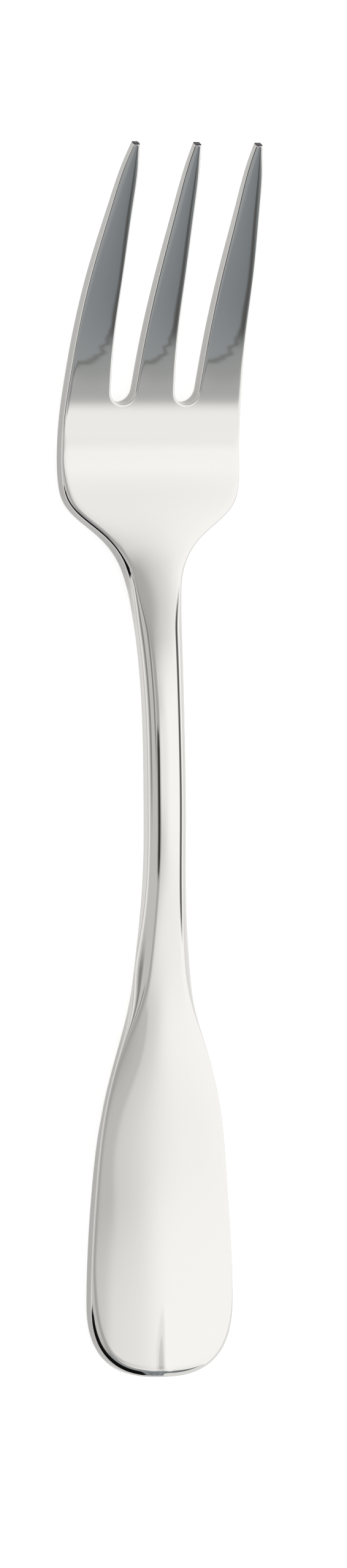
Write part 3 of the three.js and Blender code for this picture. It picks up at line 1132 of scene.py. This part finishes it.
    def crease(self, columns: np.ndarray, rows: np.ndarray, loops: np.ndarray) -> np.ndarray:
        """Work out the painted shade of the dark crease line, on the loop where the bevels begin.

        Args:
            columns: grid line across of every point.
            rows: grid line along of every point.
            loops: rim loop of every point.

        Returns:
            Share from 0 to 1 for every point.
        """
        grid = self.grid
        on_side = ((columns == 0) | (columns == grid.columns)) & (rows > grid.end_rows)
        on_line = on_side & (loops == grid.rim_loop + grid.border_loops)
        return np.where(on_line, self.form.crease_shade_share(self._place_of(rows), columns == grid.columns), 0.0)

    def wall(self, rows: np.ndarray, loops: np.ndarray) -> np.ndarray:
        """Work out the painted shade that darkens the side walls, which the bevels cut away.

        Args:
            rows: grid line along of every point.
            loops: rim loop of every point.

        Returns:
            Share from 0 to 1 for every point.
        """
        on_wall = np.abs(loops - self.grid.rim_loop) <= self.WALL_LOOPS
        on_bevel = self.form.bevel_share(self._place_of(rows), self.sizes.bevel_handle_run_out)
        return np.where(on_wall, 1.0 - on_bevel, 0.0)


class Nodes:
    """Adds and joins the nodes of one tree."""

    def __init__(self, tree: bpy.types.NodeTree) -> None:
        """Empty the tree.

        Args:
            tree: node tree of a material, a world or a group.
        """
        self.tree = tree
        tree.nodes.clear()

    def add(self, kind: str, *values: object, **settings: object) -> bpy.types.Node:
        """Add a node.

        Args:
            kind: type name of the node.
            values: sockets or plain values for its inputs in their order, with None for one left as it is.
            settings: properties of the node.

        Returns:
            The new node.
        """
        node = self.tree.nodes.new(kind)
        for name, value in settings.items():
            setattr(node, name, value)
        for socket, value in zip(node.inputs, values):
            self.join(value, socket)
        return node

    def join(self, value: object, socket: bpy.types.NodeSocket) -> None:
        """Fill an input.

        Args:
            value: socket to link it to, plain value to set it to, or None to leave it as it is.
            socket: the input.
        """
        if isinstance(value, bpy.types.NodeSocket):
            self.tree.links.new(value, socket)
        elif value is not None:
            socket.default_value = value

    def math(self, operation: str, *values: object) -> bpy.types.NodeSocket:
        """Return the result of a Math node."""
        return self.add("ShaderNodeMath", *values, operation=operation).outputs[0]

    def soft_step(self, value: object, start: object, stop: object) -> bpy.types.NodeSocket:
        """Return a soft step from 0 at start to 1 at stop."""
        step = self.add("ShaderNodeMapRange", value, start, stop, interpolation_type="SMOOTHSTEP")
        return step.outputs["Result"]

    def blend(self, share: object, start: object, stop: object) -> bpy.types.NodeSocket:
        """Blend two colours.

        Args:
            share: share of the way from the first colour to the second.
            start: first colour.
            stop: second colour.

        Returns:
            The blended colour.
        """
        node = self.add("ShaderNodeMix", data_type="RGBA")
        colours = [socket for socket in node.inputs if socket.type == "RGBA"]
        for value, socket in zip((share, start, stop), (node.inputs["Factor"], *colours)):
            self.join(value, socket)
        return next(socket for socket in node.outputs if socket.type == "RGBA")


def new_group(name: str, inputs: dict[str, str], outputs: dict[str, str]) -> bpy.types.NodeTree:
    """Make a shader node group that has only its sockets.

    Args:
        name: name of the group.
        inputs: type of each input, by its name.
        outputs: type of each output, by its name.

    Returns:
        The group.
    """
    group = bpy.data.node_groups.new(name, "ShaderNodeTree")
    for in_out, sockets in (("INPUT", inputs), ("OUTPUT", outputs)):
        for socket, kind in sockets.items():
            group.interface.new_socket(socket, in_out=in_out, socket_type=f"NodeSocket{kind}")
    return group


def polish_wear_group() -> bpy.types.NodeTree:
    """Make the traces of polishing and use: fine lines along the fork and hazy, wiped patches.

    Returns:
        Group with the inputs Place, Roughness, Haze and Lines, which puts out Roughness and Height.
    """
    group = new_group("polish_wear",
                      {"Place": "Vector", "Roughness": "Float", "Haze": "Float", "Lines": "Float"},
                      {"Roughness": "Float", "Height": "Float"})
    nodes = Nodes(group)
    given = nodes.add("NodeGroupInput").outputs
    grain = nodes.add("ShaderNodeVectorMath", given["Place"], POLISH_GRAIN, operation="MULTIPLY")
    lines = nodes.add("ShaderNodeTexNoise", grain.outputs[0], noise_dimensions="3D").outputs[0]
    patches = nodes.add("ShaderNodeTexNoise", given["Place"], None, HAZE_GRAIN, HAZE_DETAIL).outputs[0]
    roughness = given["Roughness"]
    for noise, strength in ((patches, given["Haze"]), (lines, given["Lines"])):
        centred = nodes.math("SUBTRACT", noise, NOISE_MIDDLE)
        roughness = nodes.math("MULTIPLY_ADD", centred, strength, roughness)
    nodes.add("NodeGroupOutput", roughness, lines)
    return group


def soft_panel_group() -> bpy.types.NodeTree:
    """Make a soft-edged panel of light or shade, set by its direction from the fork.

    Returns:
        Group with the inputs Behind, Panel, Direction, Azimuth, Elevation, Half Width, Half Height, Side
        Softness, Top Softness and Raggedness of the sides (angles in radians), which puts out Light.
    """
    angles = ("Azimuth", "Elevation", "Half Width", "Half Height",
              "Side Softness", "Top Softness", "Raggedness")
    inputs = {"Behind": "Color", "Panel": "Color", "Direction": "Vector", **dict.fromkeys(angles, "Float")}
    group = new_group("soft_panel", inputs, {"Light": "Color"})
    nodes = Nodes(group)
    given = nodes.add("NodeGroupInput").outputs
    x, y, z = nodes.add("ShaderNodeSeparateXYZ", given["Direction"]).outputs
    turn = nodes.math("SUBTRACT", nodes.math("ARCTAN2", y, x), given["Azimuth"])
    turn = nodes.math("WRAP", turn, math.pi, -math.pi)
    lift = nodes.math("SUBTRACT", nodes.math("ARCSINE", z), given["Elevation"])
    wave = nodes.add("ShaderNodeTexNoise", None, lift, RAGS_PER_RADIAN, RAG_DETAIL, noise_dimensions="1D")
    centred = nodes.math("SUBTRACT", wave.outputs[0], NOISE_MIDDLE)
    turn = nodes.math("MULTIPLY_ADD", centred, given["Raggedness"], turn)
    shares = []
    for angle, half, softness in ((turn, given["Half Width"], given["Side Softness"]),
                                  (lift, given["Half Height"], given["Top Softness"])):
        outer = nodes.math("ADD", half, softness)
        inner = nodes.math("SUBTRACT", half, softness)
        shares.append(nodes.soft_step(nodes.math("ABSOLUTE", angle), outer, inner))
    light = nodes.blend(nodes.math("MULTIPLY", *shares), given["Behind"], given["Panel"])
    nodes.add("NodeGroupOutput", light)
    return group


@dataclass(frozen=True)
class SteelFinish:
    """Mirror-polished stainless steel with fine wear and satin ends at the tips, with painted shade: darker
    walls, dark crease lines and dark cut ends.

    The depth of the polishing lines and the distances from the cut ends are in millimetres.
    """

    name: str = "polished_steel"
    colour: Colour = (0.53, 0.522, 0.503, 1.0)
    metallic: float = 1.0
    roughness: float = 0.045
    haze: float = 0.03
    lines: float = 0.02
    line_depth: float = 0.0002
    # Painted shade: darker walls, dark crease lines and dark cut ends in the colour, in place of the dark
    # things that the steel reflects there.
    wall_shade_colour: Colour = (0.39, 0.384, 0.372, 1.0)
    crease_shade_colour: Colour = (0.05, 0.048, 0.045, 1.0)
    crease_edge: float = 0.2
    crease_core: float = 0.8
    cut_shade_colour: Colour = (0.07, 0.065, 0.075, 1.0)
    cut_roughness: float = 0.5
    cut_edge: float = 0.16
    cut_core: float = 0.08

    def material(self, cut_place: float, cut_slope: float) -> bpy.types.Material:
        """Make the finish.

        Args:
            cut_place: distance of the cut ends from the origin, along the way that they face, in millimetres.
            cut_slope: slope of the tines at the tips.

        Returns:
            The material, on Object coordinates and the attributes of the mesh.
        """
        material = bpy.data.materials.new(self.name)
        material.use_nodes = True
        nodes = Nodes(material.node_tree)
        place = nodes.add("ShaderNodeTexCoord").outputs["Object"]
        run = 1.0 / math.hypot(1.0, cut_slope)
        faced = nodes.add("ShaderNodeVectorMath", place, (0.0, run, cut_slope * run), operation="DOT_PRODUCT")
        # Share of the cut ends: satin in roughness, and darkened by painted shade in the colour.
        cut = nodes.soft_step(
            faced.outputs["Value"], (cut_place - self.cut_edge) * MM, (cut_place - self.cut_core) * MM)
        wear = nodes.add("ShaderNodeGroup", node_tree=polish_wear_group())
        for name, value in (("Place", place), ("Roughness", self.roughness),
                            ("Haze", self.haze), ("Lines", self.lines)):
            nodes.join(value, wear.inputs[name])
        worn = wear.outputs["Roughness"]
        roughness = nodes.add("ShaderNodeMapRange", cut, 0.0, 1.0, worn, self.cut_roughness).outputs["Result"]
        bump = nodes.add("ShaderNodeBump", self.line_depth, MM)
        nodes.join(wear.outputs["Height"], bump.inputs["Height"])
        shader = nodes.add("ShaderNodeBsdfPrincipled", self._tint(nodes, cut), self.metallic, roughness)
        nodes.join(bump.outputs["Normal"], shader.inputs["Normal"])
        nodes.add("ShaderNodeOutputMaterial", shader.outputs["BSDF"])
        return material

    def _tint(self, nodes: Nodes, cut: bpy.types.NodeSocket) -> bpy.types.NodeSocket:
        """Paint shade into the steel's colour on the walls, in the creases and at the cut ends.

        Args:
            nodes: nodes of the material.
            cut: share of the cut ends.

        Returns:
            Colour of the steel, with the painted shade.
        """
        # Painted shade blended over the steel colour: darker walls, dark crease lines and dark cut ends.
        wall = nodes.add("ShaderNodeAttribute", attribute_name=WALL_SHADE).outputs["Fac"]
        crease = nodes.add("ShaderNodeAttribute", attribute_name=CREASE_SHADE).outputs["Fac"]
        line = nodes.soft_step(crease, self.crease_edge, self.crease_core)
        colour: object = self.colour
        for share, tint in ((wall, self.wall_shade_colour), (line, self.crease_shade_colour), (cut, self.cut_shade_colour)):
            colour = nodes.blend(share, colour, tint)
        return colour


def grey(level: float) -> Light:
    """Neutral light of one level."""
    return level, level, level


@dataclass(frozen=True)
class SoftPanel:
    """Panel of light or shade round the fork, with its angles in degrees.

    It stands at an azimuth, which turns from +X towards +Y, and an elevation. Its half size is half of its
    width and of its height, and its softness is that of its sides and of its top. Its light is a plain
    level, where 1 is white, and its sides may be ragged.
    """

    name: str
    at: tuple[float, float]
    half_size: tuple[float, float]
    softness: tuple[float, float]
    light: Light
    raggedness: float = 0.0

    @property
    def angles(self) -> tuple[float, ...]:
        """Angles of the panel in radians, in the order of the panel group's inputs."""
        return tuple(np.radians([*self.at, *self.half_size, *self.softness, self.raggedness]))


# The dome, and the panels before it, each in front of those above it.
DOME_LIGHT = grey(0.68)
PANELS = (
    SoftPanel("left side", (180.0, 35.0), (45.0, 42.0), (15.0, 8.0), grey(0.95)),
    SoftPanel("left low shade", (165.0, 27.0), (17.0, 5.0), (4.0, 2.5), grey(0.45)),
    SoftPanel("left high shade", (157.0, 59.0), (20.0, 5.5), (5.0, 3.0), grey(0.42)),
    SoftPanel("key haze", (-14.0, 30.0), (62.0, 47.0), (8.0, 4.0), grey(0.92)),
    SoftPanel("right haze", (3.0, 30.0), (15.0, 49.0), (10.0, 4.0), grey(1.20)),
    SoftPanel("key step", (-2.0, 34.0), (46.0, 37.7), (4.0, 0.6), grey(1.13)),
    SoftPanel("right step", (3.5, 34.0), (14.5, 38.6), (10.0, 0.8), grey(1.48)),
    SoftPanel("key slope", (-25.0, 34.0), (58.0, 32.4), (12.0, 6.5), grey(1.60)),
    SoftPanel("key core", (-24.5, 28.0), (58.5, 26.0), (12.0, 4.0), grey(1.70)),
    SoftPanel("head shade", (-43.0, 56.0), (18.0, 8.0), (8.0, 4.0), grey(1.56)),
    SoftPanel("stem light", (2.75, 40.0), (17.75, 26.2), (11.0, 2.5), grey(1.72)),
    SoftPanel("neck shade", (59.5, 69.0), (20.0, 8.5), (10.5, 5.0), grey(0.74)),
    SoftPanel("front", (276.0, 27.6), (40.0, 24.8), (4.0, 3.0), (0.62, 0.635, 0.635)),
    SoftPanel("upper front", (279.0, 40.0), (32.3, 21.7), (4.0, 2.0), (0.58, 0.60, 0.61)),
    SoftPanel("rim of the card", (275.0, 22.0), (33.9, 32.0), (0.6, 1.2), (0.33, 0.335, 0.33), 4.0),
    SoftPanel("card", (275.0, 22.0), (32.6, 31.0), (0.6, 0.8), (0.54, 0.568, 0.60), 4.0),
    SoftPanel("low front shade", (303.8, 16.0), (14.4, 22.0), (4.2, 19.6), (0.24, 0.275, 0.31)),
    SoftPanel("right strip", (309.6, 28.0), (1.6, 13.0), (0.8, 4.0), grey(0.16)),
    SoftPanel("low front light", (306.0, 8.0), (13.5, 13.0), (1.5, 4.0), grey(1.30)),
    SoftPanel("left flag", (204.0, 15.0), (11.0, 23.0), (1.5, 2.0), grey(0.008)),
    SoftPanel("low left flag", (196.0, 11.0), (7.8, 19.0), (1.2, 3.0), grey(0.008)),
    SoftPanel("front flag", (248.5, 15.0), (38.5, 23.0), (1.5, 2.0), grey(0.008)),
    SoftPanel("low left strip", (172.0, 11.0), (16.0, 5.0), (3.0, 3.0), grey(1.45)),
)


@dataclass
class Studio:
    """Pale floor, soft light and the camera, with lengths in millimetres and angles in degrees."""

    tilt: float = 25.0
    distance: float = 1600.0
    roll: float = 0.8
    shift_right: float = 3.38
    shift_up: float = -3.0
    pixels_per_mm: float = 11.5
    sensor: float = 36.0
    view_depth: float = 100000.0
    floor_radius: float = 6000.0
    floor_corners: int = 96
    floor_colour: Colour = (0.8, 0.8, 0.8, 1.0)
    floor_glow: float = 0.6

    def build(self) -> None:
        """Add the floor, the light and the camera."""
        self._floor()
        self._world()
        self._camera()

    def _floor(self) -> None:
        """Add the floor that the fork lies on, white to the camera and in the steel, with a soft shadow."""
        bpy.ops.object.select_all(action="DESELECT")
        bpy.ops.mesh.primitive_circle_add(
            vertices=self.floor_corners, radius=self.floor_radius * MM, fill_type="NGON")
        floor = bpy.context.object
        floor.name = "floor"
        material = bpy.data.materials.new("pale_floor")
        material.use_nodes = True
        nodes = Nodes(material.node_tree)
        path = nodes.add("ShaderNodeLightPath").outputs
        seen = nodes.math("MAXIMUM", path["Is Camera Ray"], path["Is Glossy Ray"])
        seen = nodes.math("MAXIMUM", seen, path["Is Transmission Ray"])
        glow = nodes.add("ShaderNodeEmission", None, nodes.math("MULTIPLY", seen, self.floor_glow))
        matt = nodes.add("ShaderNodeBsdfDiffuse", self.floor_colour)
        both = nodes.add("ShaderNodeAddShader", matt.outputs[0], glow.outputs[0])
        nodes.add("ShaderNodeOutputMaterial", both.outputs[0])
        floor.data.materials.append(material)

    def _world(self) -> None:
        """Light the fork with a soft dome and the panels before it."""
        world = bpy.data.worlds.new("studio")
        bpy.context.scene.world = world
        world.use_nodes = True
        nodes = Nodes(world.node_tree)
        direction = nodes.add("ShaderNodeTexCoord").outputs["Generated"]
        group = soft_panel_group()
        light: object = (*DOME_LIGHT, 1.0)
        for panel in PANELS:
            layer = nodes.add("ShaderNodeGroup", node_tree=group, label=panel.name)
            for value, socket in zip((light, (*panel.light, 1.0), direction, *panel.angles), layer.inputs):
                nodes.join(value, socket)
            light = layer.outputs["Light"]
        background = nodes.add("ShaderNodeBackground", light)
        nodes.add("ShaderNodeOutputWorld", background.outputs[0])

    def _camera(self) -> None:
        """Aim a long lens at the fork from above its left side."""
        tilt, roll = math.radians(self.tilt), math.radians(self.roll)
        forward = Vector((math.sin(tilt), 0.0, -math.cos(tilt)))
        level_right = Vector((math.cos(tilt), 0.0, math.sin(tilt)))
        level_up = Vector((0.0, 1.0, 0.0))
        right = math.cos(roll) * level_right - math.sin(roll) * level_up
        up = math.sin(roll) * level_right + math.cos(roll) * level_up
        centre = self.shift_right * right + self.shift_up * up - self.distance * forward
        camera = bpy.data.cameras.new("camera")
        camera.sensor_width = self.sensor
        camera.sensor_fit = "AUTO"
        camera.lens = self.sensor * self.pixels_per_mm * self.distance / IMAGE_HEIGHT
        camera.clip_end = self.view_depth * MM
        holder = bpy.data.objects.new("camera", camera)
        bpy.context.scene.collection.objects.link(holder)
        axes = Matrix((right, up, -forward)).transposed().to_4x4()
        holder.matrix_world = Matrix.Translation(centre * MM) @ axes
        bpy.context.scene.camera = holder


def main() -> None:
    """Build the fork and its studio, and log the fork's count of faces."""
    logging.basicConfig(level=logging.INFO)
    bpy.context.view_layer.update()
    form = ForkForm(ForkSizes())
    handle_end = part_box("handle")[0].y / MM + form.sizes.end_set_back
    steel = SteelFinish().material(*form.cut_end(handle_end))
    fork = Fork(form, handle_end).build(steel)
    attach(fork, "root")
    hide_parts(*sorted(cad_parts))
    LOG.info("%s has %d faces", fork.name, len(fork.data.polygons))
    Studio().build()
    bpy.context.scene.view_settings.view_transform = "Standard"


if __name__ == "__main__":
    main()
